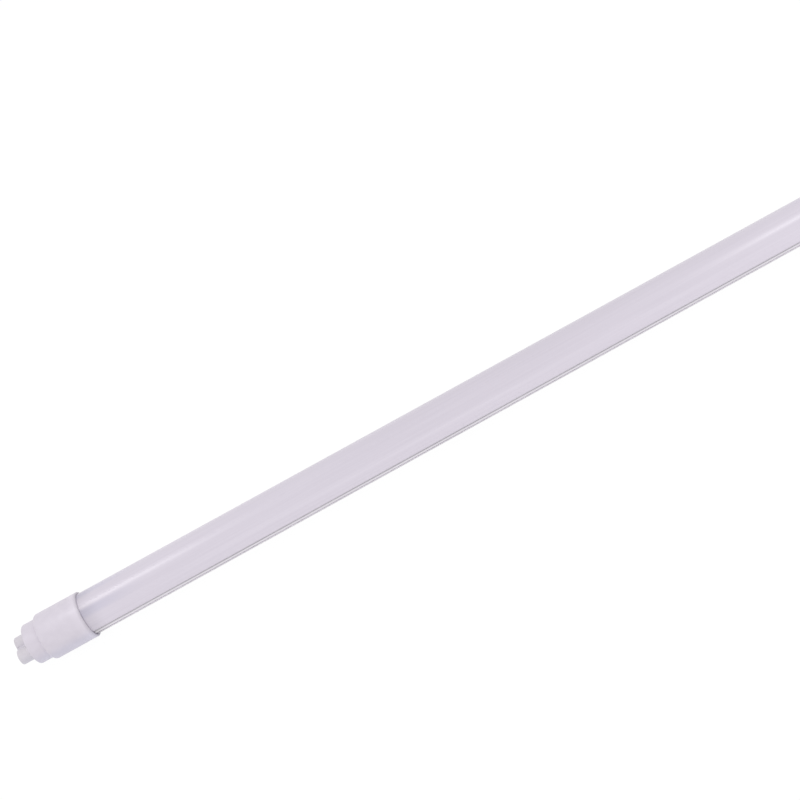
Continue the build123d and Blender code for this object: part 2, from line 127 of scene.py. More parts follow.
# A cross-section of (y, z) points carried straight along X, one ring at each place, with a flat end on
# both outer rings.
def carried(section, places):
    places = np.asarray(places, float)
    across = np.broadcast_to(section, (len(places),) + section.shape[-2:])
    along = np.broadcast_to(places[:, None, None], across.shape[:2] + (1,))
    points = np.concatenate([along, across], axis=-1).reshape(-1, 3)
    count = section.shape[-2]
    ends = [list(range(count)), list(range((len(places) - 1) * count, len(places) * count))]
    return points, ringFaces(len(places), count) + ends


# Joins, cuts or trims a piece with a tool and drops the tool.
def combine(piece, tool, operation):
    change = piece.modifiers.new(operation, "BOOLEAN")
    change.object, change.operation, change.solver = tool, operation, "EXACT"
    graph = bpy.context.evaluated_depsgraph_get()
    made = bpy.data.meshes.new_from_object(piece.evaluated_get(graph))
    piece.modifiers.clear()
    piece.data = made
    bpy.data.objects.remove(tool)


# A closed cylinder about a line along X, between two places on it.
def cylinder(name, radius, start, end, y=0.0, z=0.0, count=64):
    profile = np.array([[start, 0], [start, radius], [end, radius], [end, 0]])
    return addPiece(name, *turned(profile, count, y, z))


# A copy at the tube's other end: x turns to -x, and the faces are turned round to point outwards again.
def mirroredPiece(piece, name):
    mesh = piece.data.copy()
    points = np.empty(len(mesh.vertices) * 3)
    mesh.vertices.foreach_get("co", points)
    points[::3] *= -1
    mesh.vertices.foreach_set("co", points)
    mesh.flip_normals()
    mesh.update()
    twin = bpy.data.objects.new(name, mesh)
    bpy.context.scene.collection.objects.link(twin)
    return twin


# A small round on every edge that is sharper than the angle.
def softenEdges(piece, width, segments=3, angle=40):
    bevel = piece.modifiers.new("softEdges", "BEVEL")
    bevel.width, bevel.segments = width * mm, segments
    bevel.limit_method, bevel.angle_limit = "ANGLE", math.radians(angle)
    bevel.harden_normals = True


# End caps, with sizes in millimetres
capShape = dict(
    sleeveLength=27.0, collarLength=8.4, collarRadius=12.1, sleeveRounding=1.5, collarRounding=0.9,
    rootRounding=0.3, rimRounding=0.6, fitGap=0.05, wall=1.5, endWall=2.0,
    stopRingBore=11.2, stopRingThickness=1.5, chamberRadius=12.5, collarBore=10.6,
    lobeRadius=4.5, lobeSpacing=8.4, waistWidth=5.2, bossRounding=0.6, bossRoot=1.0,
    recessRadius=2.7, recessDepth=8.0, tailBore=0.65,
    screwSide=6.609, screwDrop=6.4, towerBore=2.05, towerRadius=3.0, towerTrim=11.35, towerFloor=2.0,
    screwBore=1.2, edgeWidth=0.16, turns=160, lobeSteps=61, roundSteps=6,
)
shoulderFace = seam - capShape["sleeveLength"]
collarFace = shoulderFace - capShape["collarLength"]
innerFace = collarFace + capShape["endWall"]


# The cap's outline and its inside as one line from the axis out over the collar and the sleeve, round
# the rim at the seam, and back inside over the bore, the stop ring and the chamber to the axis.
def capProfile():
    c = capShape
    bore = tubeRadius + c["fitGap"]
    stop = tubeEnd - c["stopRingThickness"]
    corners = np.array([
        (collarFace, 0, 0), (collarFace, c["collarRadius"], c["collarRounding"]),
        (shoulderFace, c["collarRadius"], c["rootRounding"]),
        (shoulderFace, sleeveRadius, c["sleeveRounding"]),
        (seam, sleeveRadius, c["rimRounding"]), (seam, bore, c["rimRounding"] / 2),
        (tubeEnd, bore, 0), (tubeEnd, c["stopRingBore"], 0), (stop, c["stopRingBore"], 0),
        (stop, c["chamberRadius"], 0), (shoulderFace + c["wall"], c["chamberRadius"], 0),
        (shoulderFace + c["wall"], c["collarBore"], 0), (innerFace, c["collarBore"], 0), (innerFace, 0, 0),
    ])
    return roundedLine(corners[:, :2], corners[:, 2])


# The boss's outline at a given inset: the back lobe is an arc about its centre that ends on the waist's
# sides, and the front lobe is the same arc turned half round.
def bossOutline(inset):
    lobe = capShape["lobeRadius"] - inset
    waist = capShape["waistWidth"] / 2 - inset
    reach = math.pi - np.arcsin(waist / lobe)
    turn = reach * np.linspace(-1, 1, capShape["lobeSteps"])
    y, z = capShape["lobeSpacing"] / 2 + lobe * np.cos(turn), lobe * np.sin(turn)
    return np.concatenate([np.stack([y, z], axis=-1), np.stack([-y, -z], axis=-1)], axis=-2)


# The outline carried from inside the collar to the boss's face, with a quarter-round edge: at angle a of
# the round, the inset is r (1 - cos a) and the distance from the face r (1 - sin a).
def bossBody():
    r = capShape["bossRounding"]
    a = np.linspace(0, math.pi / 2, capShape["roundSteps"])
    inset = np.concatenate([[0], r * (1 - np.cos(a))])[:, None]
    places = np.concatenate([[collarFace + capShape["bossRoot"]], bossFace + r * (1 - np.sin(a))])
    return addPiece("boss", *carried(bossOutline(inset), places))


# The turned shell, a tower for a screw on each side of it, trimmed to the collar's inside, and the boss.
# Then the holes are cut: two for the screws, and in each lobe a recess for a cup and a bore for its tail.
def leftCap():
    c = capShape
    cap = addPiece("leftCap", *turned(capProfile(), c["turns"]))
    towers = [(side * c["screwSide"], -c["screwDrop"]) for side in (-1, 1)]
    for y, z in towers:
        tower = cylinder("tower", c["towerRadius"], innerFace - c["endWall"] / 2, tubeEnd, y, z)
        trim = cylinder("trim", c["towerTrim"], collarFace - 1, tubeEnd + 1, count=c["turns"])
        combine(tower, trim, "INTERSECT")
        combine(cap, tower, "UNION")
    combine(cap, bossBody(), "UNION")
    seat = tubeEnd - c["towerFloor"]
    recessEnd = bossFace + c["recessDepth"]
    holes = [(c["towerBore"], collarFace - 1, seat, y, z) for y, z in towers]
    holes += [(c["screwBore"], seat - 1, tubeEnd + 1, y, z) for y, z in towers]
    for y in (-c["lobeSpacing"] / 2, c["lobeSpacing"] / 2):
        holes.append((c["recessRadius"], bossFace - 1, recessEnd, y))
        holes.append((c["tailBore"], recessEnd - 1, innerFace + 1, y))
    for hole in holes:
        combine(cap, cylinder("hole", *hole), "DIFFERENCE")
    cap.data.shade_smooth()
    cap.data.set_sharp_from_angle(angle=sharpAngle)
    return cap


leftCapPiece = leftCap()
rightCapPiece = mirroredPiece(leftCapPiece, "rightCap")
for cap, node in ((leftCapPiece, "left_end_cap"), (rightCapPiece, "right_end_cap")):
    softenEdges(cap, capShape["edgeWidth"])
    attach(cap, "root")
    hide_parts(node)
print("caps made:", len(leftCapPiece.data.polygons), "faces each")


# Contact cups, with sizes in millimetres
contactShape = dict(
    setback=1.5, radius=2.65, wall=0.4, lipShare=0.45, floorRounding=0.5, tailRadius=0.6, tailReach=2.0,
    turns=48,
)


# A drawn cup with a rolled lip and a tail: a line from the axis over the cup's floor, up its inside,
# round the lip, down its outside and along the tail back to the axis.
def contactCup(side):
    c = contactShape
    lip, floor = bossFace + c["setback"], bossFace + capShape["recessDepth"]
    inner, tailEnd = c["radius"] - c["wall"], innerFace + c["tailReach"]
    lipRounding = c["lipShare"] * c["wall"]
    corners = np.array([
        (floor - c["wall"], 0, 0), (floor - c["wall"], inner, c["floorRounding"]),
        (lip, inner, lipRounding), (lip, c["radius"], lipRounding),
        (floor, c["radius"], c["floorRounding"]), (floor, c["tailRadius"], 0),
        (tailEnd, c["tailRadius"], c["tailRadius"] / 2), (tailEnd, 0, 0),
    ])
    return turned(roundedLine(corners[:, :2], corners[:, 2]), c["turns"], y=side)


# Two of them side by side as one piece, in the front and the back lobe.
def leftCups():
    halfSpacing = capShape["lobeSpacing"] / 2
    (front, frontFaces), (back, backFaces) = contactCup(-halfSpacing), contactCup(halfSpacing)
    shifted = [[corner + len(front) for corner in face] for face in backFaces]
    return addPiece("leftContactCups", np.vstack([front, back]), frontFaces + shifted)


leftCupPiece = leftCups()
rightCupPiece = mirroredPiece(leftCupPiece, "rightContactCups")
for cups, node in ((leftCupPiece, "left_contacts"), (rightCupPiece, "right_contacts")):
    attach(cups, "root")
    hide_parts(node)
print("contact cups made")


# Milky cover, with sizes in millimetres
coverShape = dict(
    wall=0.9, footHeight=0.8, footInner=11.0, tongueOuter=11.75, tongueDrop=1.2, hookInner=10.6,
    hookTop=-0.8, edgeRounding=0.2, cornerRounding=0.12,
    outerSteps=181, innerSteps=121, edgeSteps=7, rings=9,
)


# The cover's section: an outer half circle with rounded lower edges, and on both sides a foot, a tongue
# and a hook that lie in the heat sink, then the inner half circle.
def coverSection():
    c = coverShape
    innerRadius = tubeRadius - c["wall"]
    edge = math.asin(c["edgeRounding"] / (tubeRadius - c["edgeRounding"]))
    turn = np.linspace(edge, math.pi - edge, c["outerSteps"])
    outer = tubeRadius * np.stack([np.cos(turn), np.sin(turn)], axis=-1)
    start = math.asin(c["footHeight"] / innerRadius)
    turn = np.linspace(math.pi - start, start, c["innerSteps"])
    inner = innerRadius * np.stack([np.cos(turn), np.sin(turn)], axis=-1)
    footEdge = (tubeRadius - c["edgeRounding"]) * math.cos(edge)
    turn = np.linspace(edge, -math.pi / 2, c["edgeSteps"])[1:]
    rounding = c["edgeRounding"] * np.stack([np.cos(turn), np.sin(turn)], axis=-1)
    rightEdge = np.array([footEdge, c["edgeRounding"]]) + rounding
    small = c["cornerRounding"]
    corners = np.array([
        (footEdge, 0, 0), (c["tongueOuter"], 0, 0), (c["tongueOuter"], -c["tongueDrop"], small),
        (c["hookInner"], -c["tongueDrop"], small), (c["hookInner"], c["hookTop"], small),
        (c["footInner"], c["hookTop"], 0), (c["footInner"], c["footHeight"], small), (*inner[-1], 0),
    ])
    foot = roundedLine(corners[:, :2], corners[:, 2])
    right = np.vstack([rightEdge, foot[1:-1]])
    left = right[::-1] * (-1, 1)
    return np.vstack([outer, left[::-1], inner, right[::-1]])


coverPlaces = np.linspace(tubeEnd, -tubeEnd, coverShape["rings"])
coverPiece = addPiece("milkyCover", *carried(coverSection(), coverPlaces))
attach(coverPiece, "root")
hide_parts("diffuser_cover")
print("cover made:", len(coverPiece.data.polygons), "faces")


finishNumbers = dict(coarseDetail=3.0, fineDetail=2.0, coarseSpread=(0.3, 0.7), bumpStrength=0.5, ior=1.5)
mixSockets = dict(RGBA=(6, 7, 2), FLOAT=(2, 3, 0))  # a Mix node's two inputs and its result, for each kind


# Sets an input to a plain value, or links another node's output to it.
def feed(tree, value, socket):
    if isinstance(value, (int, float, tuple)):
        socket.default_value = value
    else:
        tree.links.new(value, socket)


# Mixes two values by a factor and gives back the result.
def mixNode(tree, kind, factor, first, second, blendType="MIX"):
    node = tree.nodes.new("ShaderNodeMix")
    node.data_type, node.blend_type = kind, blendType
    firstInput, secondInput, result = mixSockets[kind]
    for index, value in ((0, factor), (firstInput, first), (secondInput, second)):
        feed(tree, value, node.inputs[index])
    return node.outputs[result]


# Works out a Math node's operation on some values and gives back the result.
def mathNode(tree, operation, *values):
    node = tree.nodes.new("ShaderNodeMath")
    node.operation = operation
    for socket, value in zip(node.inputs, values):
        feed(tree, value, socket)
    return node.outputs[0]


# A range of a value turned softly into a range of another.
def softRange(tree, value, fromRange, toRange):
    change = tree.nodes.new("ShaderNodeMapRange")
    change.interpolation_type = "SMOOTHSTEP"
    tree.links.new(value, change.inputs["Value"])
    change.inputs["From Min"].default_value, change.inputs["From Max"].default_value = fromRange
    change.inputs["To Min"].default_value, change.inputs["To Max"].default_value = toRange
    return change.outputs["Result"]


# A node group with two layers of noise. The coarse one runs between two colours, and the fine one between
# two roughnesses and gives the height. A stretch below 1 along X draws both out into lengthwise lines.
def finishGroup(name, stretch):
    f = finishNumbers
    group = bpy.data.node_groups.new(name, "ShaderNodeTree")
    inputs = dict(Vector="Vector", Scale="Float", Fine="Float", Low="Color", High="Color",
                  RoughLow="Float", RoughHigh="Float")
    outputs = dict(Color="Color", Roughness="Float", Height="Float")
    for sockets, way in ((inputs, "INPUT"), (outputs, "OUTPUT")):
        for label, kind in sockets.items():
            group.interface.new_socket(label, in_out=way, socket_type="NodeSocket" + kind)
    new, link = group.nodes.new, group.links.new
    given, result = new("NodeGroupInput"), new("NodeGroupOutput")
    drawn = new("ShaderNodeVectorMath")
    drawn.operation = "MULTIPLY"
    drawn.inputs[1].default_value = (stretch, 1, 1)
    link(given.outputs["Vector"], drawn.inputs[0])
    coarse, fine, fineScale = new("ShaderNodeTexNoise"), new("ShaderNodeTexNoise"), new("ShaderNodeMath")
    fineScale.operation = "MULTIPLY"
    link(given.outputs["Scale"], fineScale.inputs[0])
    link(given.outputs["Fine"], fineScale.inputs[1])
    for noise, detail in ((coarse, f["coarseDetail"]), (fine, f["fineDetail"])):
        noise.inputs["Detail"].default_value = detail
        link(drawn.outputs[0], noise.inputs["Vector"])
    link(given.outputs["Scale"], coarse.inputs["Scale"])
    link(fineScale.outputs[0], fine.inputs["Scale"])
    spread = new("ShaderNodeMapRange")
    spread.inputs["From Min"].default_value, spread.inputs["From Max"].default_value = f["coarseSpread"]
    link(coarse.outputs["Fac"], spread.inputs["Value"])
    tint = mixNode(group, "RGBA", spread.outputs["Result"], given.outputs["Low"], given.outputs["High"])
    rough = new("ShaderNodeMapRange")
    link(fine.outputs["Fac"], rough.inputs["Value"])
    link(given.outputs["RoughLow"], rough.inputs["To Min"])
    link(given.outputs["RoughHigh"], rough.inputs["To Max"])
    link(tint, result.inputs["Color"])
    link(rough.outputs["Result"], result.inputs["Roughness"])
    link(fine.outputs["Fac"], result.inputs["Height"])
    return group


mouldedGrain = finishGroup("mouldedGrain", stretch=1.0)
drawnStreaks = finishGroup("drawnStreaks", stretch=0.015)
print("finish groups made")


# Two colours and two roughnesses that a finish runs between, the scale of its coarse layer, the bump's
# depth in millimetres, how metallic it is, and how much finer the fine layer is.
def finishLook(low, high, rough, scale, depth, metal=0.0, fine=8.0):
    return dict(low=low, high=high, rough=rough, scale=scale, depth=depth, metal=metal, fine=fine)


# A finish group set to a look.
def surfaceNode(tree, group, look):
    surface, place = tree.nodes.new("ShaderNodeGroup"), tree.nodes.new("ShaderNodeTexCoord")
    surface.node_tree = group
    tree.links.new(place.outputs["Object"], surface.inputs["Vector"])
    surface.inputs["Scale"].default_value = look["scale"]
    surface.inputs["Fine"].default_value = look["fine"]
    surface.inputs["Low"].default_value = look["low"] + (1,)
    surface.inputs["High"].default_value = look["high"] + (1,)
    surface.inputs["RoughLow"].default_value, surface.inputs["RoughHigh"].default_value = look["rough"]
    return surface


# A material with that surface and its bump.
def finishMaterial(name, group, look):
    material = bpy.data.materials.new(name)
    material.use_nodes = True
    tree = material.node_tree
    shader = tree.nodes["Principled BSDF"]
    surface, bump = surfaceNode(tree, group, look), tree.nodes.new("ShaderNodeBump")
    bump.inputs["Distance"].default_value = look["depth"] * mm
    bump.inputs["Strength"].default_value = finishNumbers["bumpStrength"]
    tree.links.new(surface.outputs["Height"], bump.inputs["Height"])
    tree.links.new(surface.outputs["Color"], shader.inputs["Base Color"])
    tree.links.new(surface.outputs["Roughness"], shader.inputs["Roughness"])
    tree.links.new(bump.outputs["Normal"], shader.inputs["Normal"])
    shader.inputs["Metallic"].default_value = look["metal"]
    shader.inputs["IOR"].default_value = finishNumbers["ior"]
    return material


# Gives a piece one material all over.
def dress(piece, material):
    if piece.material_slots:
        for held in piece.material_slots:
            held.material = material
    else:
        piece.data.materials.append(material)


outerLooks = dict(
    capPlastic=finishLook((0.645, 0.60, 0.675), (0.675, 0.63, 0.705), (0.36, 0.46), 260, 0.02, fine=14),
    milkyCover=finishLook((0.645, 0.60, 0.68), (0.675, 0.63, 0.71), (0.27, 0.35), 900, 0.01, fine=4),
    anodised=finishLook((0.71, 0.68, 0.73), (0.81, 0.775, 0.83), (0.3, 0.45), 1500, 0.02, metal=1.0, fine=3),
    screwSteel=finishLook((0.52, 0.52, 0.54), (0.64, 0.64, 0.65), (0.25, 0.4), 1500, 0.02, metal=1.0),
    contactBrass=finishLook((0.62, 0.5, 0.28), (0.74, 0.62, 0.38), (0.18, 0.32), 900, 0.01, metal=1.0),
)
capPlastic = finishMaterial("capPlastic", mouldedGrain, outerLooks["capPlastic"])
milkyPlastic = finishMaterial("milkyPlastic", drawnStreaks, outerLooks["milkyCover"])


# The object's own x and y without their signs, and its z.
def placeOutputs(tree):
    place, split = tree.nodes.new("ShaderNodeTexCoord"), tree.nodes.new("ShaderNodeSeparateXYZ")
    tree.links.new(place.outputs["Object"], split.inputs[0])
    x, y = (mathNode(tree, "ABSOLUTE", split.outputs[axis]) for axis in ("X", "Y"))
    return x, y, split.outputs["Z"]


# Multiplies a material's base colour by a product of values.
def scaleColour(tree, values):
    colour = tree.nodes["Principled BSDF"].inputs["Base Color"]
    shaded = tree.nodes.new("ShaderNodeVectorMath")
    shaded.operation = "SCALE"
    product = values[0]
    for value in values[1:]:
        product = mathNode(tree, "MULTIPLY", product, value)
    tree.links.new(colour.links[0].from_socket, shaded.inputs[0])
    tree.links.new(product, shaded.inputs["Scale"])
    tree.links.new(shaded.outputs[0], colour)


# Multiplies a material's base colour by a tint where the mask is 1.
def tintColour(tree, mask, tint):
    colour = tree.nodes["Principled BSDF"].inputs["Base Color"]
    plain = colour.links[0].from_socket
    tree.links.new(mixNode(tree, "RGBA", mask, plain, tint + (1,), blendType="MULTIPLY"), colour)


# The milky plastic's colour carries painted light: it is painted lighter lower down and darker towards
# its top, with painted shade along its lowest edge where it meets the aluminium. It also carries painted
# shade beside the caps: close by on its sides, and further on in a cooler band between its top and its
# sides.
coverPaintedShade = dict(
    paintedLowLight=0.10, jointShade=0.18, jointReach=1.5, capShade=0.15, shadeReach=12.0, topShare=0.3,
    sideReach=5.0, bandShadeTint=(0.875, 0.89, 0.935), bandReach=45.0, bandSide=(3.0, 5.0, 7.0, 9.5),
)


def shadeMilkyPlastic():
    tree, m = milkyPlastic.node_tree, coverPaintedShade
    x, y, z = placeOutputs(tree)
    # Painted light: the cover is painted lighter lower down and darker towards its top.
    height = softRange(tree, z, (axisHeight, axisHeight + tubeRadius * mm), (1 + m["paintedLowLight"], 1.0))
    # Painted shade along the cover's lowest edge, where it meets the aluminium.
    joint = softRange(tree, z, (axisHeight, axisHeight + m["jointReach"] * mm), (1 - m["jointShade"], 1.0))
    # Painted shade on the cover beside the caps, stronger on its sides than on its top.
    nearCap = softRange(tree, x, (-(seam + m["shadeReach"]) * mm, -seam * mm), (0.0, m["capShade"]))
    onSide = softRange(tree, y, (0.0, m["sideReach"] * mm), (m["topShare"], 1.0))
    besideCap = mathNode(tree, "SUBTRACT", 1.0, mathNode(tree, "MULTIPLY", nearCap, onSide))
    # A cool painted shade in a band between the cover's top and its sides, fading away from the caps.
    bandStart, bandFull, bandFade, bandEnd = (side * mm for side in m["bandSide"])
    rising = softRange(tree, y, (bandStart, bandFull), (0.0, 1.0))
    falling = softRange(tree, y, (bandFade, bandEnd), (1.0, 0.0))
    along = softRange(tree, x, (-(seam + m["bandReach"]) * mm, -seam * mm), (0.0, 1.0))
    band = mathNode(tree, "MULTIPLY", mathNode(tree, "MULTIPLY", rising, falling), along)
    tintColour(tree, band, m["bandShadeTint"])
    scaleColour(tree, [height, joint, besideCap])


# The cap carries a painted highlight along its rim towards the seam, and painted shade on the edge at
# the seam itself. Its boss is tinted a little less blue, and its lower sides carry a cool painted shade.
capTintAndShade = dict(
    rimHighlight=0.08, rimWidth=7.0, edgeShade=0.2, edgeWidth=2.2, bossTint=(1.0, 1.01, 0.96), bossReach=9.0,
    bossFade=2.0, lowShadeTint=(0.93, 0.955, 1.0), lowFrom=7.0, lowTo=-1.0,
)


def tintAndShadeCapPlastic():
    tree, w = capPlastic.node_tree, capTintAndShade
    x, y, z = placeOutputs(tree)
    bossRoot = (-bossFace - w["bossReach"]) * mm
    bossSpread = (bossRoot, bossRoot + w["bossFade"] * mm)
    tintColour(tree, softRange(tree, x, bossSpread, (0.0, 1.0)), w["bossTint"])
    # A cool painted shade on the cap's lower sides.
    lowSpread = (axisHeight + w["lowTo"] * mm, axisHeight + w["lowFrom"] * mm)
    tintColour(tree, softRange(tree, z, lowSpread, (1.0, 0.0)), w["lowShadeTint"])
    # A painted highlight along the cap's rim towards the seam.
    rim = softRange(tree, x, (-seam * mm, (w["rimWidth"] - seam) * mm), (1 + w["rimHighlight"], 1.0))
    # Painted shade on the cap's edge at the seam.
    edge = softRange(tree, x, (-seam * mm, (w["edgeWidth"] - seam) * mm), (1 - w["edgeShade"], 1.0))
    scaleColour(tree, [rim, edge])


# The aluminium carries painted shade where it meets the cover and beside the caps.
aluminiumPaintedShade = dict(shade=0.42, reach=1.6, capShade=0.2, capReach=9.0)


def shadeAluminium():
    tree, d = anodisedAluminium.node_tree, aluminiumPaintedShade
    x, y, z = placeOutputs(tree)
    # Painted shade on the aluminium's top strip, where it meets the cover.
    joint = softRange(tree, z, (axisHeight - d["reach"] * mm, axisHeight), (1.0, 1 - d["shade"]))
    # Painted shade on the aluminium beside the caps.
    nearCap = softRange(tree, x, (-(seam + d["capReach"]) * mm, -seam * mm), (1.0, 1 - d["capShade"]))
    scaleColour(tree, [joint, nearCap])


anodisedAluminium = finishMaterial("anodisedAluminium", drawnStreaks, outerLooks["anodised"])
shadeMilkyPlastic()
tintAndShadeCapPlastic()
shadeAluminium()
screwSteel = finishMaterial("screwSteel", mouldedGrain, outerLooks["screwSteel"])
contactBrass = finishMaterial("contactBrass", mouldedGrain, outerLooks["contactBrass"])

for cap in (leftCapPiece, rightCapPiece):
    dress(cap, capPlastic)
for cups in (leftCupPiece, rightCupPiece):
    dress(cups, contactBrass)
for name in ("left_bridge_strip", "right_bridge_strip"):
    dress(nodes[name], contactBrass)
dress(coverPiece, milkyPlastic)
dress(nodes["heat_sink"], anodisedAluminium)
dress(nodes["cap_screws"], screwSteel)
print("outer finishes made")


# Looks of the parts that the cover, the heat sink and the caps hide.
innerLooks = dict(
    boardWhite=finishLook((0.78, 0.78, 0.76), (0.84, 0.84, 0.82), (0.3, 0.42), 900, 0.01),
    trackWhite=finishLook((0.68, 0.69, 0.66), (0.73, 0.74, 0.71), (0.26, 0.36), 900, 0.01),
    chipBody=finishLook((0.76, 0.75, 0.71), (0.82, 0.81, 0.77), (0.4, 0.5), 3000, 0.01),
    phosphor=finishLook((0.70, 0.47, 0.06), (0.80, 0.60, 0.13), (0.3, 0.55), 6000, 0.01),
    boardGreen=finishLook((0.02, 0.13, 0.06), (0.03, 0.17, 0.08), (0.25, 0.4), 1200, 0.01),
    trackGreen=finishLook((0.05, 0.24, 0.11), (0.07, 0.29, 0.14), (0.22, 0.34), 1200, 0.01),
    sleeveFilm=finishLook((0.62, 0.64, 0.66), (0.70, 0.72, 0.74), (0.24, 0.4), 300, 0.03),
    fuseBody=finishLook((0.25, 0.30, 0.20), (0.30, 0.36, 0.25), (0.35, 0.5), 1500, 0.02),
    bandDark=finishLook((0.03, 0.02, 0.02), (0.06, 0.04, 0.03), (0.35, 0.5), 1500, 0.02),
    bandRed=finishLook((0.42, 0.04, 0.02), (0.50, 0.06, 0.03), (0.35, 0.5), 1500, 0.02),
    tinned=finishLook((0.58, 0.58, 0.58), (0.70, 0.70, 0.69), (0.22, 0.42), 2500, 0.01, metal=1.0),
    varistorBlue=finishLook((0.02, 0.09, 0.32), (0.03, 0.13, 0.40), (0.3, 0.5), 1200, 0.03),
    filmYellow=finishLook((0.66, 0.44, 0.05), (0.74, 0.52, 0.08), (0.38, 0.5), 900, 0.02),
    pottingResin=finishLook((0.60, 0.50, 0.30), (0.68, 0.58, 0.38), (0.2, 0.35), 900, 0.02),
    ferrite=finishLook((0.035, 0.035, 0.038), (0.07, 0.07, 0.075), (0.45, 0.7), 2500, 0.03),
    copperWire=finishLook((0.55, 0.22, 0.09), (0.72, 0.33, 0.15), (0.2, 0.35), 1500, 0.01, metal=1.0),
    blackEpoxy=finishLook((0.018, 0.018, 0.02), (0.035, 0.035, 0.038), (0.5, 0.7), 2500, 0.02),
    canSleeve=finishLook((0.02, 0.025, 0.05), (0.03, 0.04, 0.075), (0.2, 0.35), 700, 0.02),
    canStripe=finishLook((0.55, 0.57, 0.60), (0.62, 0.64, 0.67), (0.2, 0.35), 700, 0.02),
    canMetal=finishLook((0.62, 0.62, 0.64), (0.74, 0.74, 0.76), (0.25, 0.45), 1500, 0.01, metal=1.0),
    bobbinPlastic=finishLook((0.05, 0.045, 0.04), (0.08, 0.07, 0.06), (0.4, 0.55), 1200, 0.02),
    windingTape=finishLook((0.70, 0.50, 0.08), (0.78, 0.60, 0.14), (0.2, 0.35), 700, 0.02),
    tapeEdge=finishLook((0.46, 0.31, 0.05), (0.55, 0.38, 0.08), (0.3, 0.45), 700, 0.02),
    leadWhite=finishLook((0.74, 0.74, 0.72), (0.80, 0.80, 0.78), (0.35, 0.5), 900, 0.02),
    leadRed=finishLook((0.46, 0.03, 0.02), (0.56, 0.05, 0.03), (0.35, 0.5), 900, 0.02),
    leadBlack=finishLook((0.02, 0.02, 0.02), (0.04, 0.04, 0.04), (0.35, 0.5), 900, 0.02),
)

# Each node has a look all over, and other looks in areas. An area is bounded in millimetres: along from
# the node's left end, across from the axis (side is the same without its sign), above from its lowest
# point. endwise and upward say how squarely the surface faces along X, either way, and up. repeat is the
# pitch at which the area comes again along X.
ledCount = 48
ledPitch = 2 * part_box("led_board")[1].x / mm / ledCount


# How far a node reaches from its lowest to its highest corner, in millimetres.
def nodeSize(node):
    low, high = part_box(node)
    return (high - low) / mm


canRadius = nodeSize("bulk_capacitors").z / 2
inputLength, farLength = nodeSize("left_input_lead").x, nodeSize("right_input_lead").x
canAreas = [("canStripe", dict(side=(0, 1.0), above=(canRadius, 3 * canRadius))),
            ("canMetal", dict(endwise=(0.9, 1.1)))]
ringedWire = dict(direction="Z", pitch=0.3, depth=0.08)
wrappedTape = dict(direction="X", pitch=1.1, depth=0.04)
innerParts = dict(
    led_board=("boardWhite", [("trackWhite", dict(side=(2.2, 4.6), along=(0.5, ledPitch - 0.5),
                                                  repeat=ledPitch))]),
    led_chips=("chipBody", [("phosphor", dict(above=(0.6, 0.75), upward=(0.5, 1.1)))]),
    driver_board=("boardGreen", [("trackGreen", dict(side=(0.8, 2.1), along=(0.6, 5.4), repeat=6.0)),
                                 ("trackGreen", dict(side=(2.7, 5.0), along=(1.2, 8.4), repeat=9.0))]),
    driver_sleeve=("sleeveFilm", []),
    fuse=("fuseBody", [("bandRed", dict(along=(2.6, 3.3))), ("bandDark", dict(along=(4.3, 5.0))),
                       ("tinned", dict(along=(-1, 1.15))), ("tinned", dict(along=(8.15, 12)))]),
    surge_varistor=("varistorBlue", [("tinned", dict(above=(-1, 0.4)))]),
    film_capacitor=("filmYellow", [("pottingResin", dict(above=(-1, 0.5)))]),
    choke_core=("ferrite", []),
    choke_winding=("copperWire", [], ringedWire),
    bridge_rectifier=("blackEpoxy", [("tinned", dict(side=(1.97, 4)))]),
    bulk_capacitors=("canSleeve", canAreas + [("tinned", dict(along=(0, 0.9), repeat=12.0))]),
    control_chip=("blackEpoxy", [("tinned", dict(side=(1.97, 4)))]),
    chip_resistors=("blackEpoxy", [("tinned", dict(along=(-1, 0.5))), ("tinned", dict(along=(2.7, 4)))]),
    transformer_core=("ferrite", []),
    transformer_bobbin=("bobbinPlastic", []),
    transformer_winding=("windingTape", [("tapeEdge", dict(along=(0.9, 1.1), repeat=2.2))], wrappedTape),
    output_diode=("blackEpoxy", [("tinned", dict(side=(1.32, 4)))]),
    output_capacitor=("canSleeve", canAreas + [("tinned", dict(along=(-1, 0.9)))]),
    left_input_lead=("leadWhite", [("tinned", dict(along=(-1, 1.5))),
                                   ("tinned", dict(along=(inputLength - 2, inputLength + 1)))]),
    right_input_lead=("leadWhite", [("tinned", dict(along=(-1, 2.0))),
                                    ("tinned", dict(along=(farLength - 1.5, farLength + 1)))]),
    output_leads=("leadRed", [("leadBlack", dict(across=(-9, -1.65))),
                              ("tinned", dict(along=(11.2, 14), above=(-1, 2))),
                              ("tinned", dict(along=(7.2, 10), above=(5, 20)))]),
)


# 1 where every measure that the area names lies between its bounds, and 0 elsewhere.
def areaMask(tree, node, area):
    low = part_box(node)[0]
    place = tree.nodes.new("ShaderNodeTexCoord")
    spot, facing = tree.nodes.new("ShaderNodeSeparateXYZ"), tree.nodes.new("ShaderNodeSeparateXYZ")
    tree.links.new(place.outputs["Object"], spot.inputs[0])
    tree.links.new(place.outputs["Normal"], facing.inputs[0])
    mask = 1.0
    for measure, bounds in area.items():
        if measure == "repeat":
            continue
        unit = mm
        if measure == "along":
            value = mathNode(tree, "SUBTRACT", spot.outputs["X"], low.x)
            if "repeat" in area:
                value = mathNode(tree, "WRAP", value, area["repeat"] * mm, 0.0)
        elif measure in ("across", "side"):
            value = spot.outputs["Y"]
            if measure == "side":
                value = mathNode(tree, "ABSOLUTE", value)
        elif measure == "above":
            value = mathNode(tree, "SUBTRACT", spot.outputs["Z"], low.z)
        else:
            unit = 1.0
            value = facing.outputs["Z"]
            if measure == "endwise":
                value = mathNode(tree, "ABSOLUTE", facing.outputs["X"])
        middle, reach = (bounds[0] + bounds[1]) / 2 * unit, (bounds[1] - bounds[0]) / 2 * unit
        mask = mathNode(tree, "MULTIPLY", mathNode(tree, "COMPARE", value, middle, reach), mask)
    return mask


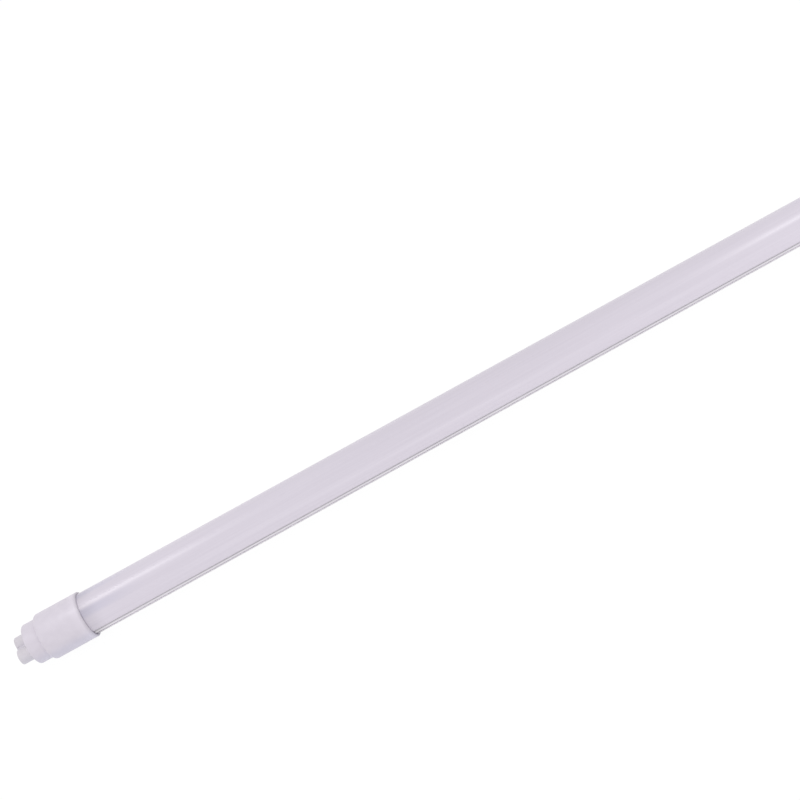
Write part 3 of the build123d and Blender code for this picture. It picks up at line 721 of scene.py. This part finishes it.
# Lays a second look over a material where the mask is 1.
def overlay(tree, mask, look):
    shader, surface = tree.nodes["Principled BSDF"], surfaceNode(tree, mouldedGrain, look)
    metallic = shader.inputs["Metallic"]
    layers = [("Base Color", "RGBA", surface.outputs["Color"]),
              ("Roughness", "FLOAT", surface.outputs["Roughness"])]
    if metallic.is_linked or metallic.default_value != look["metal"]:
        layers.append(("Metallic", "FLOAT", look["metal"]))
    for label, kind, over in layers:
        held = shader.inputs[label]
        under = held.links[0].from_socket if held.is_linked else held.default_value
        tree.links.new(mixNode(tree, kind, mask, under, over), held)


waveTurns = 20  # a Wave texture's angle grows by this much times its scale for each unit of length


# Rounded ridges of the given pitch and depth in millimetres, stacked along Z or X: the turns of a winding.
def addRidges(tree, ridges):
    shader, bump = tree.nodes["Principled BSDF"], tree.nodes.new("ShaderNodeBump")
    wave, place = tree.nodes.new("ShaderNodeTexWave"), tree.nodes.new("ShaderNodeTexCoord")
    wave.bands_direction = ridges["direction"]
    wave.inputs["Scale"].default_value = 2 * math.pi / (waveTurns * ridges["pitch"] * mm)
    tree.links.new(place.outputs["Object"], wave.inputs["Vector"])
    tree.links.new(wave.outputs["Fac"], bump.inputs["Height"])
    bump.inputs["Distance"].default_value = ridges["depth"] * mm
    tree.links.new(shader.inputs["Normal"].links[0].from_socket, bump.inputs["Normal"])
    tree.links.new(bump.outputs["Normal"], shader.inputs["Normal"])


for node, (base, areas, *ridges) in innerParts.items():
    material = finishMaterial(node.replace("_", "-") + "-finish", mouldedGrain, innerLooks[base])
    for other, area in areas:
        overlay(material.node_tree, areaMask(material.node_tree, node, area), innerLooks[other])
    for given in ridges:
        addRidges(material.node_tree, given)
    dress(nodes[node], material)
print("inner finishes made:", len(innerParts))


# Floor and surroundings. The floor shows as white, with a share of its own shaded colour for the shadow.
stageLook = dict(
    floorSize=12.0, floorColour=0.9, floorRoughness=0.9, floorWhite=1.03, shadowShare=0.07, ambient=0.84,
)


# 1 for a camera, glossy or transmission ray, and 0 for any other.
def seenMask(tree):
    path = tree.nodes.new("ShaderNodeLightPath")
    mask = path.outputs["Is Camera Ray"]
    for label in ("Is Glossy Ray", "Is Transmission Ray"):
        mask = mathNode(tree, "MAXIMUM", mask, path.outputs[label])
    return mask


# White to those rays, apart from the shadow's share, and a dull pale surface to all others.
def floorMaterial():
    material = bpy.data.materials.new("floorWhite")
    material.use_nodes = True
    tree = material.node_tree
    shader = tree.nodes["Principled BSDF"]
    shader.inputs["Base Color"].default_value = (stageLook["floorColour"],) * 3 + (1,)
    shader.inputs["Roughness"].default_value = stageLook["floorRoughness"]
    shader.inputs["Specular IOR Level"].default_value = 0.0
    white, mix = tree.nodes.new("ShaderNodeEmission"), tree.nodes.new("ShaderNodeMixShader")
    share = mathNode(tree, "MULTIPLY", seenMask(tree), 1 - stageLook["shadowShare"])
    tree.links.new(share, mix.inputs[0])
    tree.links.new(shader.outputs[0], mix.inputs[1])
    tree.links.new(white.outputs[0], mix.inputs[2])
    white.inputs["Strength"].default_value = stageLook["floorWhite"]
    tree.links.new(mix.outputs[0], tree.nodes["Material Output"].inputs["Surface"])
    return material


# White to those rays, and an even soft light to all others.
def studioWorld():
    world = bpy.data.worlds.new("studio")
    bpy.context.scene.world = world
    world.use_nodes = True
    tree = world.node_tree
    soft = tree.nodes["Background"]
    soft.inputs["Strength"].default_value = stageLook["ambient"]
    soft.inputs["Color"].default_value = (1, 1, 1, 1)
    white, mix = tree.nodes.new("ShaderNodeBackground"), tree.nodes.new("ShaderNodeMixShader")
    white.inputs["Color"].default_value = (1, 1, 1, 1)
    tree.links.new(seenMask(tree), mix.inputs[0])
    tree.links.new(soft.outputs[0], mix.inputs[1])
    tree.links.new(white.outputs[0], mix.inputs[2])
    tree.links.new(mix.outputs[0], tree.nodes["World Output"].inputs["Surface"])


half = stageLook["floorSize"] / 2
floorMesh = bpy.data.meshes.new("floor")
floorCorners = [(-half, -half, 0), (half, -half, 0), (half, half, 0), (-half, half, 0)]
floorMesh.from_pydata(floorCorners, [], [(0, 1, 2, 3)])
floorPiece = bpy.data.objects.new("floor", floorMesh)
bpy.context.scene.collection.objects.link(floorPiece)
floorMesh.materials.append(floorMaterial())
studioWorld()

# Each lamp stands off from a point on the tube's axis, so far from the left seam, in the direction
# (x, y, z), and is as long and wide as given. Two small lamps make the two soft streaks on the cover.
lamps = dict(
    capLamp=dict(fromSeam=0.051, direction=(-0.276, 0.2, 0.94), distance=0.45, size=(0.10, 0.11),
                 power=0.34),
    farLamp=dict(fromSeam=0.78, direction=(-0.276, -0.157, 0.95), distance=0.45, size=(0.12, 0.10),
                 power=0.46),
    frontLamp=dict(fromSeam=0.45, direction=(0.0, -0.95, 0.30), distance=2.0, size=(1.6, 0.5), power=3.6),
)
for name, lamp in lamps.items():
    light = bpy.data.lights.new(name, "AREA")
    light.shape, light.size, light.size_y, light.energy = "RECTANGLE", *lamp["size"], lamp["power"]
    direction = Vector(lamp["direction"]).normalized()
    aim = Vector((seam * mm + lamp["fromSeam"], 0, axisHeight))
    holder = bpy.data.objects.new(name, light)
    holder.matrix_world = (Matrix.Translation(aim + direction * lamp["distance"])
                           @ direction.to_track_quat("Z", "Y").to_matrix().to_4x4())
    bpy.context.scene.collection.objects.link(holder)

# The photograph looks down on the tube from its near side, nearly square to the stretch in the middle of
# the picture, across which the tube rises to the right. The centre of the left seam stands at seamAcross
# and seamDown, in pixels of the 800 by 800 picture from its upper left corner, and a pixel there is
# pixelWidth millimetres wide.
photoView = dict(
    turn=-2.9, elevation=53.1, roll=28.73, distance=0.62, clipEnd=100,
    pictureSide=800, pixelWidth=0.567, seamAcross=88.1, seamDown=613.6,
)


# The camera stands off from the point in the picture's middle, and its lens takes in pictureSide pixels.
def photoCamera():
    v = photoView
    turn, elevation, roll = (math.radians(v[key]) for key in ("turn", "elevation", "roll"))
    level = math.cos(turn)
    towards = Vector((math.sin(turn), -level * math.cos(elevation), level * math.sin(elevation)))
    along = (Vector((1, 0, 0)) - towards.x * towards).normalized()
    square = towards.cross(along)
    right = along * math.cos(roll) - square * math.sin(roll)
    up = along * math.sin(roll) + square * math.cos(roll)
    pixel, middle = v["pixelWidth"] * mm, v["pictureSide"] / 2
    seamCentre = Vector((seam * mm, 0, axisHeight))
    centre = seamCentre - right * (v["seamAcross"] - middle) * pixel + up * (v["seamDown"] - middle) * pixel
    camera = bpy.data.cameras.new("photoCamera")
    camera.lens = camera.sensor_width * v["distance"] / (v["pictureSide"] * pixel)
    camera.clip_end = v["clipEnd"]
    holder = bpy.data.objects.new("photoCamera", camera)
    holder.matrix_world = (Matrix.Translation(centre + towards * v["distance"])
                           @ Matrix((right, up, towards)).transposed().to_4x4())
    bpy.context.scene.collection.objects.link(holder)
    bpy.context.scene.camera = holder


photoCamera()
bpy.context.scene.view_settings.view_transform = "Standard"
print("stage, light and camera made")
